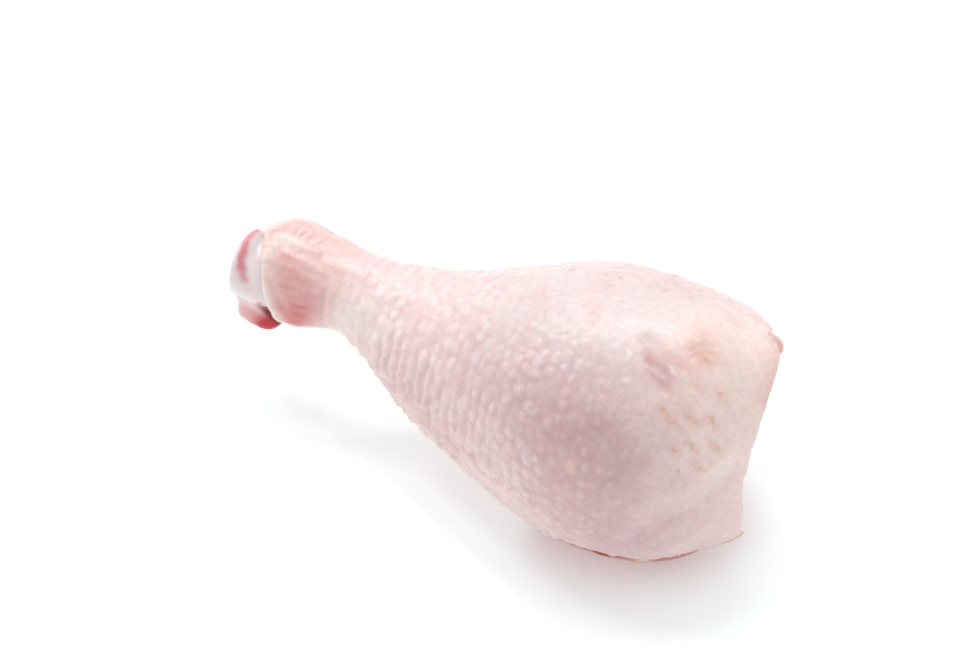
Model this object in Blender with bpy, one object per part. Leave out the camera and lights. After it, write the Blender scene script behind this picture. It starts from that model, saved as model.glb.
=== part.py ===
"""Raw chicken drumstick, lying on the flattened side of its thick end with the hock in the air.

Three pieces, each its own solid: the skin, a sleeve that is open at the hock and at the thigh cut; the
meat, which fills the sleeve and is bared at the slanted thigh cut; and the bone, which runs through the
meat from the double knuckle at the hock to the cartilage head at the cut.

Lengths are in millimetres and turned into metres as the meshes are made. A station is a distance along
the leg from the middle of the hock towards the thick end, and an angle goes round the leg from the top (0)
over the front (90) to the underside (180) and the back (270).
"""

import math

import bmesh
import bpy
import numpy as np

MM = 0.001

# The leg's outer form. The columns are station, half depth, half height, and how far the middle of the
# section lies behind and above the leg's straight axis.
LEG_SECTIONS = (
    (-12.0, 7.0, 7.2, 0.0, -0.6),
    (-7.5, 9.3, 9.4, 0.0, 0.0),
    (-3.5, 10.5, 11.1, 0.0, 1.3),
    (4.0, 10.5, 10.4, 0.0, 1.3),
    (12.5, 9.0, 9.1, 0.0, 2.4),
    (19.5, 10.4, 10.6, 0.0, 0.3),
    (30.0, 14.9, 15.1, 0.0, -2.1),
    (44.5, 20.7, 21.0, 0.0, -1.7),
    (59.0, 26.2, 26.3, 0.0, -0.1),
    (71.0, 28.4, 28.5, 0.1, -0.2),
    (81.0, 28.2, 28.4, 0.5, 0.4),
    (88.5, 27.1, 27.3, 1.4, 0.4),
    (94.5, 23.9, 25.2, 3.8, -0.2),
    (100.0, 19.6, 22.7, 7.6, -0.7),
    (105.0, 15.4, 20.0, 10.2, -1.2),
    (112.0, 9.0, 16.0, 12.5, -0.8),
)
SQUARENESS = 2.02  # exponent of the section's superellipse, 2 for an ellipse
PITCH = math.radians(3.5)  # the hock lies this much higher than the thick end
FLAT_STATION = 76.0
FLAT_HEIGHT = 23.7  # of the leg's axis over the ground, at FLAT_STATION
FLAT_SOFTNESS = 1.0  # height over which the belly rounds into the flat that it rests on

# The edge of the skin round the hock, as an angle and the station at which the cuff ends there. The
# upper back side is the longest.
CUFF_EDGE = (
    (0.0, -8.0),
    (60.0, -3.5),
    (90.0, -1.6),
    (120.0, 0.1),
    (150.0, 1.0),
    (180.0, 0.5),
    (220.0, -3.0),
    (270.0, -7.3),
    (315.0, -9.2),
    (360.0, -8.0),
)
# A fold runs back from the cuff's edge along the top of the hock.
FOLD_DEPTH = 0.9
FOLD_HALF_WIDTH = 1.1
FOLD_ANGLE = 13.0
FOLD_END = 9.0  # the station where it has died out
FOLD_FADE = 8.0
FOLD_BULGE = 0.55
FOLD_RIDGES = ((3.0, 2.6), (-4.4, 3.4))  # beside it: distance round the leg and half width

# The edge of the skin round the thigh cut, as an angle and the station at which the skin ends there. In
# front the edge drops to the ground and then runs back along it.
CUT_EDGE = (
    (0.0, 99.8),
    (20.0, 101.6),
    (60.0, 102.6),
    (90.0, 102.6),
    (110.0, 102.9),
    (130.0, 102.0),
    (144.0, 101.2),
    (149.0, 98.6),
    (153.0, 91.0),
    (157.0, 82.0),
    (163.0, 77.0),
    (175.0, 75.4),
    (205.0, 75.0),
    (228.0, 76.0),
    (255.0, 79.5),
    (290.0, 85.5),
    (320.0, 91.0),
    (340.0, 96.4),
    (360.0, 99.8),
)
# The grid's lines crowd together where the edge turns.
CROWD_ANGLE = 152.0
CROWD_HALF_WIDTH = 13.0
CROWD_DENSITY = 2.6

SKIN_AT_CUFF = 1.9
SKIN_ON_BODY = 1.45
SKIN_THINS_FROM = -4.0  # the stations between which the skin thins from one to the other
SKIN_THINS_BY = 24.0
NEAR = 0.1  # step in millimetres and degrees to the points that give a surface's direction

GAP = 0.3  # between the meat and the bone
SKIN_GAP = 0.45  # between the meat and the skin

# The grid: lines round the leg, and rows along it in three stretches that meet at these shares of the way.
AROUND = 52
HOCK_ROWS = 13
BODY_ROWS = 19
CUT_ROWS = 6
BODY_STARTS = 0.25
CUT_STARTS = 0.86
INNER_STEP = 2  # the inner walls have every second row
RIM_ROWS = 3

# The meat stops short inside the cuff, and swells past the skin's edge at the cut.
MEAT_INSIDE_CUFF = 5.0
BORE_START = 3.5
MEAT_RECESS = 3.2
MEAT_ROUND = 1.0  # the corner between the wall under the skin and the cut face
LIP_WALL = 0.7
LIP_GAP = 0.5
LIP_GAP_SHARES = (0.7, 0.95)  # shares of the way along the leg over which this gap opens
LIP_REACH = 1.7
LIP_DEPTH = 0.6
LIP_TURNS = 0.75  # share of the way into the lip from which it comes down over the skin's edge
LIP_ANGLES = (143.0, 150.0, 156.0, 166.0)
CUT_FACING = (0.80, 0.50, -0.33)
CAP_ROWS = 7
BUNDLE_COUNT = 5
BUNDLE_HEIGHT = 1.2
BUNDLE_TURN = 20.0
CAP_SWELL = 0.8
TAB_ANGLE = 345.0
TAB_HEIGHT = 4.0
TAB_HALF_WIDTH = 14.0

# The bone. The columns are as for the leg.
BONE_SECTIONS = (
    (-11.0, 7.3, 11.6, -1.2, -2.1),
    (-9.5, 7.4, 10.0, -1.2, -3.6),
    (-6.0, 7.6, 10.3, -1.1, -3.6),
    (-3.8, 7.3, 9.9, -1.0, -3.2),
    (-2.0, 6.8, 7.7, -0.8, -1.1),
    (0.0, 6.2, 6.5, -0.6, -0.2),
    (3.0, 5.4, 5.6, -0.5, 0.2),
    (8.0, 4.7, 4.9, -0.2, 0.6),
    (15.0, 3.9, 4.1, 0.0, 0.8),
    (35.0, 3.7, 3.9, 0.6, 0.4),
    (62.0, 4.1, 4.4, 2.2, 0.0),
    (80.0, 6.2, 6.8, 4.6, 0.2),
    (90.0, 9.3, 9.9, 6.4, 0.2),
    (97.0, 10.3, 10.7, 7.4, 0.0),
)
BONE_AROUND = 28
KNUCKLE_ROWS = 9
SHAFT_ROWS = 6
HEAD_ROWS = 5
NECK_STATION = 8.0
HEAD_STARTS = 76.0
BONE_CAP_ROWS = 6
CAP_FULLNESS = 0.75  # 1 for a round end, less for a blunter one
KNUCKLE_STATION = -10.4  # where the knuckle starts to round off
KNUCKLE_REACH = 2.9
KNUCKLE_GROOVE = 0.30  # share of the half depth that the groove between the condyles cuts in
KNUCKLE_GROOVE_SPAN = (4.0, -5.0)  # the stations between which it deepens
KNUCKLE_NOTCH = 2.3  # depth of the same groove in the end
KNUCKLE_GROOVE_WIDTH = 2.6
KNUCKLE_GROOVE_HEIGHT = -6.6  # of the groove, under the leg's axis
KNUCKLE_SLANT = 0.42  # the lower condyle reaches less far, by this share of its depth under the groove
HEAD_STATION = 95.0
HEAD_REACH = 3.4
HEAD_GROOVE = 1.3
HEAD_GROOVE_HEIGHT = 1.0
HEAD_GROOVE_WIDTH = 3.0


def table(rows, column, at):
    """A column of a table, read between its rows along one smooth curve."""
    x = np.array([row[0] for row in rows])
    y = np.array([row[column] for row in rows])
    slope = np.gradient(y, x)
    at = np.clip(at, x[0], x[-1])
    low = np.clip(np.searchsorted(x, at, side="right") - 1, 0, len(x) - 2)
    width = x[low + 1] - x[low]
    t = (at - x[low]) / width
    return (
        y[low] * (1 + 2 * t) * (1 - t) ** 2
        + y[low + 1] * t * t * (3 - 2 * t)
        + width * (slope[low] * t * (1 - t) ** 2 - slope[low + 1] * t * t * (1 - t))
    )


def smoothstep(low, high, value):
    t = np.clip((value - low) / (high - low), 0.0, 1.0)
    return t * t * (3 - 2 * t)


def bell(value, width):
    return np.exp(-((value / width) ** 2))


def turn_between(angle, other):
    """The signed turn in degrees to one angle from another, between -180 and 180."""
    return (angle - other + 180.0) % 360.0 - 180.0


def on_ground(across, above, station):
    """Points of the leg's own frame in the frame where it lies, as an array of x, y, z."""
    x = station * math.cos(PITCH) + above * math.sin(PITCH)
    z = FLAT_HEIGHT - (station - FLAT_STATION) * math.sin(PITCH) + above * math.cos(PITCH)
    return np.stack(np.broadcast_arrays(x, across, z), axis=-1)


def section(rows, station, angle):
    """How far a section's outline lies behind and above the axis, at an angle in degrees."""
    turn = np.radians(angle)
    side, up = np.sin(turn), np.cos(turn)
    size = (np.abs(side) ** SQUARENESS + np.abs(up) ** SQUARENESS) ** (-1 / SQUARENESS)
    across = table(rows, 3, station) - table(rows, 1, station) * side * size
    above = table(rows, 4, station) + table(rows, 2, station) * up * size
    return across, above


def leg_point(station, angle):
    """The leg's outer surface, flattened where it rests on the ground."""
    across, above = section(LEG_SECTIONS, station, angle)
    half = table(LEG_SECTIONS, 2, station)
    along = smoothstep(FOLD_END, FOLD_END - FOLD_FADE, station)
    off = np.radians(turn_between(angle, FOLD_ANGLE)) * half
    beside = sum(bell(off - middle, width) for middle, width in FOLD_RIDGES)
    relief = along * (FOLD_BULGE * beside - FOLD_DEPTH * bell(off, FOLD_HALF_WIDTH))
    turn = np.radians(angle)
    point = on_ground(across - relief * np.sin(turn), above + relief * np.cos(turn), station)
    z, soft = point[..., 2], FLAT_SOFTNESS
    near = (z + soft) ** 2 / (4 * soft)
    point[..., 2] = np.where(z > soft, z, np.where(z < -soft, 0.0, near))
    return point


def bone_point(station, angle):
    """The bone's surface, with the groove between the two condyles of the knuckle."""
    across, above = section(BONE_SECTIONS, station, angle)
    depth = KNUCKLE_GROOVE * smoothstep(*KNUCKLE_GROOVE_SPAN, station)
    groove = depth * bell(above - KNUCKLE_GROOVE_HEIGHT, KNUCKLE_GROOVE_WIDTH)
    middle = table(BONE_SECTIONS, 3, station)
    return on_ground(middle + (across - middle) * (1 - groove), above, station)


def sunk(surface, station, angle, depth):
    """Points at a depth under a surface, and the surface's outward normals."""
    point = surface(station, angle)
    along = surface(station + NEAR, angle) - surface(station - NEAR, angle)
    around = surface(station, angle + NEAR) - surface(station, angle - NEAR)
    normal = np.cross(around, along)
    normal /= np.linalg.norm(normal, axis=-1, keepdims=True)
    return point - np.asarray(depth)[..., None] * normal, normal


def grid_lines():
    """The angles of the grid's lines."""
    angle = np.arange(0.0, 360.5, 0.5)
    density = 1 + CROWD_DENSITY * bell(angle - CROWD_ANGLE, CROWD_HALF_WIDTH)
    passed = np.concatenate([[0.0], np.cumsum((density[1:] + density[:-1]) / 2)])
    return np.interp(np.arange(AROUND) / AROUND * passed[-1], passed, angle)


def cuff_edge(line):
    return table(CUFF_EDGE, 1, line)


def along_leg(share, line):
    """The station on a line of the grid, at a share of the way from the cuff's edge to the cut's."""
    start = cuff_edge(line)
    return start + share * (table(CUT_EDGE, 1, line) - start)


def row_shares():
    """Shares of the way along the leg, closest together at the hock and at the cut."""
    hock = np.linspace(0.0, BODY_STARTS, HOCK_ROWS, endpoint=False)
    body = np.linspace(BODY_STARTS, CUT_STARTS, BODY_ROWS, endpoint=False)
    cut = np.linspace(CUT_STARTS, 1.0, CUT_ROWS + 1)
    return np.concatenate([hock, body, cut])


def skin_thickness(station):
    thinned = smoothstep(SKIN_THINS_FROM, SKIN_THINS_BY, station)
    return SKIN_AT_CUFF + (SKIN_ON_BODY - SKIN_AT_CUFF) * thinned


def edge_frame(share, towards):
    """The skin's edge at one end: points on its outer wall, their normals, and which way is off the edge."""
    lines = grid_lines()
    point, normal = sunk(leg_point, along_leg(share, lines), lines, np.zeros(AROUND))
    tangent = np.roll(point, -1, axis=0) - np.roll(point, 1, axis=0)
    off = towards * np.cross(normal, tangent)
    return point, normal, off / np.linalg.norm(off, axis=1, keepdims=True)


def rolled_edge(share, towards):
    """Rows that round the skin's edge over from its outer wall to its inner wall."""
    point, normal, off = edge_frame(share, towards)
    half = skin_thickness(along_leg(share, grid_lines()))[:, None] / 2
    turns = np.linspace(0.0, math.pi, RIM_ROWS + 2)[1:-1]
    return [point + half * ((math.cos(turn) - 1) * normal + math.sin(turn) * off) for turn in turns]


def under_skin(share, extra):
    lines = grid_lines()
    station = along_leg(share, lines)
    return sunk(leg_point, station, lines, skin_thickness(station) + extra)[0]


def skin_rows():
    lines = grid_lines()
    outer = [leg_point(along_leg(share, lines), lines) for share in row_shares()]
    inner = [under_skin(share, 0.0) for share in inner_shares()]
    return outer + rolled_edge(1.0, 1) + inner[::-1] + rolled_edge(0.0, -1)[::-1]


def inner_shares():
    shares = row_shares()
    kept = shares[::INNER_STEP]
    return kept if kept[-1] == 1.0 else np.append(kept, 1.0)


def bone_stations():
    knuckle = np.linspace(KNUCKLE_STATION, NECK_STATION, KNUCKLE_ROWS, endpoint=False)
    shaft = np.linspace(NECK_STATION, HEAD_STARTS, SHAFT_ROWS, endpoint=False)
    return np.concatenate([knuckle, shaft, np.linspace(HEAD_STARTS, HEAD_STATION, HEAD_ROWS)])


def bore_rows():
    """The channel in the meat, a gap wider than the bone, from the head back to the cuff."""
    lines = grid_lines()
    inside = [station for station in bone_stations() if station > BORE_START]
    return [sunk(bone_point, station, lines, -GAP)[0] for station in inside[::-1]]


def cap_relief(line):
    """How far the meat swells out of the cut along each line, in bundles with a tab of muscle at one side."""
    bundles = BUNDLE_HEIGHT * np.abs(np.sin(np.radians(line * BUNDLE_COUNT / 2 + BUNDLE_TURN)))
    tab = TAB_HEIGHT * bell(turn_between(line, TAB_ANGLE), TAB_HALF_WIDTH)
    return CAP_SWELL + bundles + tab


def meat_rows():
    lines = grid_lines()
    length = (table(CUT_EDGE, 1, lines) - cuff_edge(lines)).max()
    shares = [share for share in inner_shares() if MEAT_INSIDE_CUFF < share * length < length - MEAT_RECESS]
    front = smoothstep(*LIP_ANGLES[:2], lines) * smoothstep(*LIP_ANGLES[:1:-1], lines)
    point, normal, off = edge_frame(1.0, 1)
    lip_gap = LIP_GAP * front
    rows = [under_skin(share, SKIN_GAP + lip_gap * smoothstep(*LIP_GAP_SHARES, share)) for share in shares]
    wall_depth = skin_thickness(along_leg(1.0, lines)) + SKIN_GAP + lip_gap
    wall_reach = -MEAT_RECESS + front * (MEAT_RECESS + LIP_WALL)
    rows.append(point + wall_reach[:, None] * off - wall_depth[:, None] * normal)
    lip_reach = -MEAT_RECESS + MEAT_ROUND + front * (MEAT_RECESS - MEAT_ROUND + LIP_REACH)
    in_front = smoothstep(LIP_TURNS, 1.0, front)
    lip_depth = (wall_depth + MEAT_ROUND / 2) * (1 - in_front) + LIP_DEPTH * in_front
    lip = point + lip_reach[:, None] * off - lip_depth[:, None] * normal
    rows.append(lip)
    bore = bore_rows()
    facing = np.array(CUT_FACING)
    for row in range(1, CAP_ROWS):
        share = row / CAP_ROWS
        swell = math.sin(math.pi * share) * cap_relief(lines)
        rows.append(lip + (bore[0] - lip) * share + swell[:, None] * facing)
    return rows + bore


def cap_rows(station, towards, reach):
    """Rows that round an end of the bone off. The first row lies just past the given station."""
    lines = np.arange(BONE_AROUND) * 360.0 / BONE_AROUND
    edge_across, edge_above = section(BONE_SECTIONS, station, lines)
    middle_across = table(BONE_SECTIONS, 3, station)
    middle_above = table(BONE_SECTIONS, 4, station)
    edge = bone_point(station, lines)
    centre = on_ground(np.array(middle_across), np.array(middle_above), np.array(station))
    rows = []
    for row in range(1, BONE_CAP_ROWS + 1):
        turn = row / (BONE_CAP_ROWS + 0.6) * math.pi / 2
        size = math.cos(turn) ** CAP_FULLNESS
        above = middle_above + (edge_above - middle_above) * size
        across = (edge_across - middle_across) * size
        out = reach(across, above) * math.sin(turn)
        ring = centre + (edge - centre) * size
        ring[:, 0] += towards * out
        rows.append(ring)
    return rows


def knuckle_reach(across, above):
    under = np.clip(KNUCKLE_GROOVE_HEIGHT - above, 0.0, None)
    notch = KNUCKLE_NOTCH * bell(above - KNUCKLE_GROOVE_HEIGHT, KNUCKLE_GROOVE_WIDTH)
    return KNUCKLE_REACH - notch - KNUCKLE_SLANT * under


def head_reach(across, above):
    return HEAD_REACH - HEAD_GROOVE * bell(above - HEAD_GROOVE_HEIGHT, HEAD_GROOVE_WIDTH)


def bone_rows():
    lines = np.arange(BONE_AROUND) * 360.0 / BONE_AROUND
    shaft = [bone_point(station, lines) for station in bone_stations()]
    return (
        cap_rows(KNUCKLE_STATION, -1, knuckle_reach)[::-1]
        + shaft
        + cap_rows(HEAD_STATION, 1, head_reach)
    )


def lofted(name, rows, ring, material):
    """A mesh object over rows of points. With ring, the last row meets the first, else both ends are shut."""
    mesh = bmesh.new()
    loops = [[mesh.verts.new(point * MM) for point in row] for row in rows]
    count = len(loops[0])
    pairs = list(zip(loops, loops[1:] + loops[:1] if ring else loops[1:]))
    for first, second in pairs:
        for i in range(count):
            j = (i + 1) % count
            mesh.faces.new((first[i], first[j], second[j], second[i]))
    if not ring:
        for loop in (loops[0], loops[-1]):
            shut = mesh.faces.new(loop)
            bmesh.ops.poke(mesh, faces=[shut])
    bmesh.ops.triangulate(mesh, faces=mesh.faces[:], quad_method="FIXED")
    bmesh.ops.recalc_face_normals(mesh, faces=mesh.faces[:])
    data = bpy.data.meshes.new(name)
    mesh.to_mesh(data)
    mesh.free()
    data.shade_smooth()
    piece = bpy.data.objects.new(name, data)
    bpy.context.scene.collection.objects.link(piece)
    data.materials.append(material)
    return piece


def finish(name, colour, roughness):
    material = bpy.data.materials.new(name)
    material.use_nodes = True
    shader = material.node_tree.nodes["Principled BSDF"]
    shader.inputs["Base Color"].default_value = (*colour, 1.0)
    shader.inputs["Roughness"].default_value = roughness
    shader.inputs["Metallic"].default_value = 0.0
    return material


def centre_on_origin(pieces):
    """Shifts the meshes so that the origin lies under the middle of the whole, on the ground."""
    corners = np.array([corner.co[:] for piece in pieces for corner in piece.data.vertices])
    low, high = corners.min(axis=0), corners.max(axis=0)
    shift = -np.array([(low[0] + high[0]) / 2, (low[1] + high[1]) / 2, low[2]])
    for piece in pieces:
        for corner in piece.data.vertices:
            corner.co = corner.co[:] + shift


def main():
    for thing in list(bpy.data.objects):
        bpy.data.objects.remove(thing)
    pieces = [
        lofted("skin", skin_rows(), True, finish("raw chicken skin", (0.80, 0.60, 0.56), 0.35)),
        lofted("meat", meat_rows(), True, finish("raw dark chicken meat", (0.60, 0.20, 0.18), 0.3)),
        lofted("bone", bone_rows(), False, finish("joint cartilage", (0.78, 0.66, 0.66), 0.25)),
    ]
    centre_on_origin(pieces)


main()
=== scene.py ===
import itertools
import math

import bpy
import numpy as np
from mathutils import Matrix, Vector
from mathutils.bvhtree import BVHTree
from mathutils.kdtree import KDTree


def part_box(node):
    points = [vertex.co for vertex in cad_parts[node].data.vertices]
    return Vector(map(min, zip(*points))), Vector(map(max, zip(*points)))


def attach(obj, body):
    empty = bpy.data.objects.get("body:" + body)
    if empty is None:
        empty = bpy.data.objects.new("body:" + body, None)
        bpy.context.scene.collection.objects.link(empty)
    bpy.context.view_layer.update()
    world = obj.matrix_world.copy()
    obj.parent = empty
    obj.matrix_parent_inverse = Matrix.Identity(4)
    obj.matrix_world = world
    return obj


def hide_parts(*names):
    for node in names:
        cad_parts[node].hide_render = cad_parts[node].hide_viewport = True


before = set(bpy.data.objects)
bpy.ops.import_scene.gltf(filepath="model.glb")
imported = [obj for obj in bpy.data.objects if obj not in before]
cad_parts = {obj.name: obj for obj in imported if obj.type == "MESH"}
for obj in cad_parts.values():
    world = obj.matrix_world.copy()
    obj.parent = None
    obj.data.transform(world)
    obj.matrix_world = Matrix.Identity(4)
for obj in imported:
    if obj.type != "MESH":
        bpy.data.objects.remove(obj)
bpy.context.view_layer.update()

# The photograph's frame in pixels and its camera, turned to the right of the leg's front and
# looking down: its distance in metres, its focal length in pixels, its sensor in mm, and the
# point of the leg that it shows at one pixel
PHOTO_WIDE, PHOTO_HIGH = 966, 655
CAMERA_TURN = math.radians(28)
CAMERA_DOWN = math.radians(42)
CAMERA_DISTANCE = 0.8
FOCAL_PX = 4064
SENSOR_WIDE = 36
AIM_POINT = Vector((0, 0, 0.025))
AIM_PX = (498, 360.5)

# Each light's place and size in metres and its watts, and the strength of the white room
LIGHTS = (
    ("soft_box_above", (-0.2, 0.35, 0.9), (0.5, 0.4), 4.2),
    ("small_light", (-0.5, 0.05, 0.8), (0.14, 0.14), 1.0),
)
ROOM_LIGHT = 0.7

# The floor's side in metres, its colour and how much light it gives off
FLOOR_SIZE = 6
FLOOR_WHITE = "#e6f0f0"
FLOOR_GLOW = 0.31

# The leg's own axis, in mm: station along the leg, radius, centre across and above
LEG_AXIS = (
    (-12, 7, 0, -0.6),
    (4, 10.5, 0, 1.3),
    (12.5, 9, 0, 2.4),
    (19.5, 10.5, 0, 0.3),
    (30, 15, 0, -2.1),
    (44.5, 20.8, 0, -1.7),
    (59, 26.2, 0, -0.1),
    (71, 28.4, 0, -0.2),
    (81, 28.3, 0.5, 0.4),
    (88.5, 27.2, 1.4, 0.4),
    (94.5, 24.5, 3.8, -0.2),
    (105, 18, 10, -1.2),
)
LEG_PITCH = math.radians(3.5)
LEG_START = (-45.004, -0.195, 28.340)

# Between these stations outward is square to the leg's axis, and past them it fans out as on a ball
ROUND_PART = (-8, 78)

# The bone's middle near the thigh cut: station and how far across, and its height, in mm
BONE_ACROSS = ((78, 4.7), (94, 7.1))
BONE_ABOVE = 0.1

# Where one part of the leg gives way to the next: the stations of the change's start and end
HOCK_TO_SHANK = (9, 16)
SHANK_TO_CALF = (14, 34)
CALF_TO_END = (62, 74)
BONE_HEAD_STARTS = (85, 93)

# Sides in mm of the faces that carry the relief, and the rounds of smoothing before it
SKIN_FACE, SKIN_ROUNDS = 0.44, 12
MEAT_FACE, MEAT_ROUNDS = 0.5, 6
BONE_FACE, BONE_ROUNDS = 0.35, 5

# The share of its faces that the skin keeps where they don't face outwards
HIDDEN_SHARE = 0.06

# Points of a CAD node that are closer than this, in metres, are one
MERGE_GAP = 0.000004

# The step in mm in which a line of pixels is followed over a surface
LINE_STEP = 0.3


def camera_axes():
    """The camera's right, up and backward directions."""
    toward = Vector(
        (
            math.sin(CAMERA_TURN) * math.cos(CAMERA_DOWN),
            -math.cos(CAMERA_TURN) * math.cos(CAMERA_DOWN),
            math.sin(CAMERA_DOWN),
        )
    )
    right = Vector((math.cos(CAMERA_TURN), math.sin(CAMERA_TURN), 0))
    return right, toward.cross(right), toward


def camera_place():
    right, up, toward = camera_axes()
    aside = (PHOTO_WIDE / 2 - AIM_PX[0]) / FOCAL_PX * CAMERA_DISTANCE
    above = (AIM_PX[1] - PHOTO_HIGH / 2) / FOCAL_PX * CAMERA_DISTANCE
    return AIM_POINT + toward * CAMERA_DISTANCE + right * aside + up * above


def set_up_camera():
    right, up, toward = camera_axes()
    camera = bpy.data.cameras.new("camera")
    camera.sensor_width = SENSOR_WIDE
    camera.lens = FOCAL_PX / PHOTO_WIDE * SENSOR_WIDE
    camera.clip_start = 0.05
    holder = bpy.data.objects.new("camera", camera)
    bpy.context.scene.collection.objects.link(holder)
    turned = Matrix((right, up, toward)).transposed().to_4x4()
    holder.matrix_world = Matrix.Translation(camera_place()) @ turned
    bpy.context.scene.camera = holder


def smoothstep(low, high, value):
    part = np.clip((value - low) / (high - low), 0, 1)
    return part * part * (3 - 2 * part)


def bell(value, middle, width):
    return np.exp(-(((value - middle) / width) ** 2))


def lumps(points, size, seed):
    """Smooth random heights from -1 to 1 at points in mm, in lumps of that size."""
    cells = 32
    values = np.random.default_rng(seed).uniform(-1, 1, (cells, cells, cells))
    place = points / np.asarray(size, float) + 5 * cells
    cell = np.floor(place).astype(int)
    part = place - cell
    part = part * part * (3 - 2 * part)
    total = np.zeros(len(points))
    for corner in itertools.product((0, 1), repeat=3):
        share = np.prod(np.where(corner, part, 1 - part), axis=1)
        at = (cell + corner) % cells
        total += share * values[at[:, 0], at[:, 1], at[:, 2]]
    return total


def select_only(piece):
    bpy.ops.object.select_all(action="DESELECT")
    piece.select_set(True)
    bpy.context.view_layer.objects.active = piece


def points_of(piece):
    """The piece's points and their normals, the points in mm."""
    count = len(piece.data.vertices)
    points = np.empty(count * 3, np.float32)
    normals = np.empty(count * 3, np.float32)
    piece.data.vertices.foreach_get("co", points)
    piece.data.vertices.foreach_get("normal", normals)
    return points.reshape(-1, 3).astype(float) * 1000, normals.reshape(-1, 3)


def move_points(piece, points, node):
    """Puts the points, given in mm, back into the piece, kept inside the box of a CAD node."""
    low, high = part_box(node)
    inside = np.clip(points / 1000, np.array(low), np.array(high))
    piece.data.vertices.foreach_set("co", inside.astype(np.float32).ravel())
    piece.data.update()


def fine_copy(node, name, face_mm, smoothing, trimmer=None, added=None):
    """A CAD node's copy in small even faces, less the trimmer and joined with what is added."""
    piece = bpy.data.objects.new(name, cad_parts[node].data.copy())
    piece.data.materials.clear()
    bpy.context.scene.collection.objects.link(piece)
    select_only(piece)
    bpy.ops.object.mode_set(mode="EDIT")
    bpy.ops.mesh.select_all(action="SELECT")
    bpy.ops.mesh.remove_doubles(threshold=MERGE_GAP)
    bpy.ops.mesh.tris_convert_to_quads(face_threshold=0.7, shape_threshold=1.5)
    bpy.ops.object.mode_set(mode="OBJECT")
    rounded = piece.modifiers.new("rounded", "SUBSURF")
    rounded.levels = rounded.render_levels = 2
    bpy.ops.object.modifier_apply(modifier=rounded.name)
    if trimmer:
        trimmed = piece.modifiers.new("trimmed", "BOOLEAN")
        trimmed.operation = "DIFFERENCE"
        trimmed.solver = "EXACT"
        trimmed.object = trimmer
        bpy.ops.object.modifier_apply(modifier=trimmed.name)
        bpy.data.objects.remove(trimmer)
    if added:
        added.select_set(True)
        bpy.ops.object.join()
    even = piece.modifiers.new("even", "REMESH")
    even.mode = "VOXEL"
    even.voxel_size = face_mm / 1000
    even.use_smooth_shade = True
    bpy.ops.object.modifier_apply(modifier=even.name)
    eased = piece.modifiers.new("eased", "SMOOTH")
    eased.iterations = smoothing
    bpy.ops.object.modifier_apply(modifier=eased.name)
    return piece


def surface_of(piece):
    return BVHTree.FromObject(piece, bpy.context.evaluated_depsgraph_get())


def seen_point(surface, pixel):
    """The point, in mm, that the photograph shows at that pixel, or None beside the piece."""
    right, up, toward = camera_axes()
    aside = right * (pixel[0] - PHOTO_WIDE / 2)
    below = up * (pixel[1] - PHOTO_HIGH / 2)
    ray = (aside - below - toward * FOCAL_PX).normalized()
    place = surface.ray_cast(camera_place(), ray)[0]
    return None if place is None else np.array(place) * 1000


def seen_patch(points, surface, spots, mirrored=0.0):
    """A soft mask from 0 to 1 round each spot: its pixel, its radius in mm and its weight."""
    mask = np.zeros(len(points))
    for pixel, radius, weight in spots:
        place = seen_point(surface, pixel)
        if place is None:
            continue
        mask += weight * bell(np.linalg.norm(points - place, axis=1), 0, radius)
        if mirrored:
            behind = place * (1, -1, 1)
            away = np.linalg.norm(points - behind, axis=1)
            mask += mirrored * weight * bell(away, 0, radius)
    return np.clip(mask, 0, 1)


def seen_line(points, surface, pixels, width):
    """A soft ridge from 0 to 1 along a line of pixels, of that half width in mm."""
    places = [seen_point(surface, pixel) for pixel in pixels]
    places = [place for place in places if place is not None]
    steps = []
    for start, end in zip(places, places[1:]):
        count = max(2, int(np.linalg.norm(end - start) / LINE_STEP))
        steps += [start + (end - start) * part for part in np.linspace(0, 1, count)]
    if not steps:
        return np.zeros(len(points))
    steps = np.array(steps)
    mask = np.zeros(len(points))
    near = np.linalg.norm(points - steps.mean(axis=0), axis=1)
    reach = np.linalg.norm(steps - steps.mean(axis=0), axis=1).max() + 3 * width
    for index in np.flatnonzero(near < reach):
        gap = np.sqrt(((steps - points[index]) ** 2).sum(axis=1).min())
        mask[index] = math.exp(-((gap / width) ** 2))
    return mask


def seen_lines(points, surface, lines):
    """The heights in mm of soft ridges and dents: line of pixels, half width and height in mm."""
    heights = np.zeros(len(points))
    for pixels, width, tall in lines:
        heights += tall * seen_line(points, surface, pixels, width)
    return heights


def along_leg(points):
    """Each point in the leg's own frame: station, across and above, in mm."""
    x = points[:, 0] - LEG_START[0]
    y = points[:, 1] - LEG_START[1]
    z = points[:, 2] - LEG_START[2]
    station = x * math.cos(LEG_PITCH) - z * math.sin(LEG_PITCH)
    above = x * math.sin(LEG_PITCH) + z * math.cos(LEG_PITCH)
    return np.stack([station, y, above], axis=1)


def from_leg(station, across, above):
    x = station * math.cos(LEG_PITCH) + above * math.sin(LEG_PITCH) + LEG_START[0]
    z = above * math.cos(LEG_PITCH) - station * math.sin(LEG_PITCH) + LEG_START[2]
    return np.array((x, across + LEG_START[1], z))


def turn_from_leg(directions):
    """Directions in the leg's frame turned to the shared frame."""
    made = directions.copy()
    made[:, 0] = directions[:, 0] * math.cos(LEG_PITCH) + directions[:, 2] * math.sin(LEG_PITCH)
    made[:, 2] = directions[:, 2] * math.cos(LEG_PITCH) - directions[:, 0] * math.sin(LEG_PITCH)
    return made


def at_station(table, station, column=1):
    """A value of a table whose first column is the station along the leg."""
    values = np.array(table, float)
    return np.interp(station, values[:, 0], values[:, column])


def axis_at(station):
    """Radius and centre of the leg at a station."""
    return [at_station(LEG_AXIS, station, column) for column in (1, 2, 3)]


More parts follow.
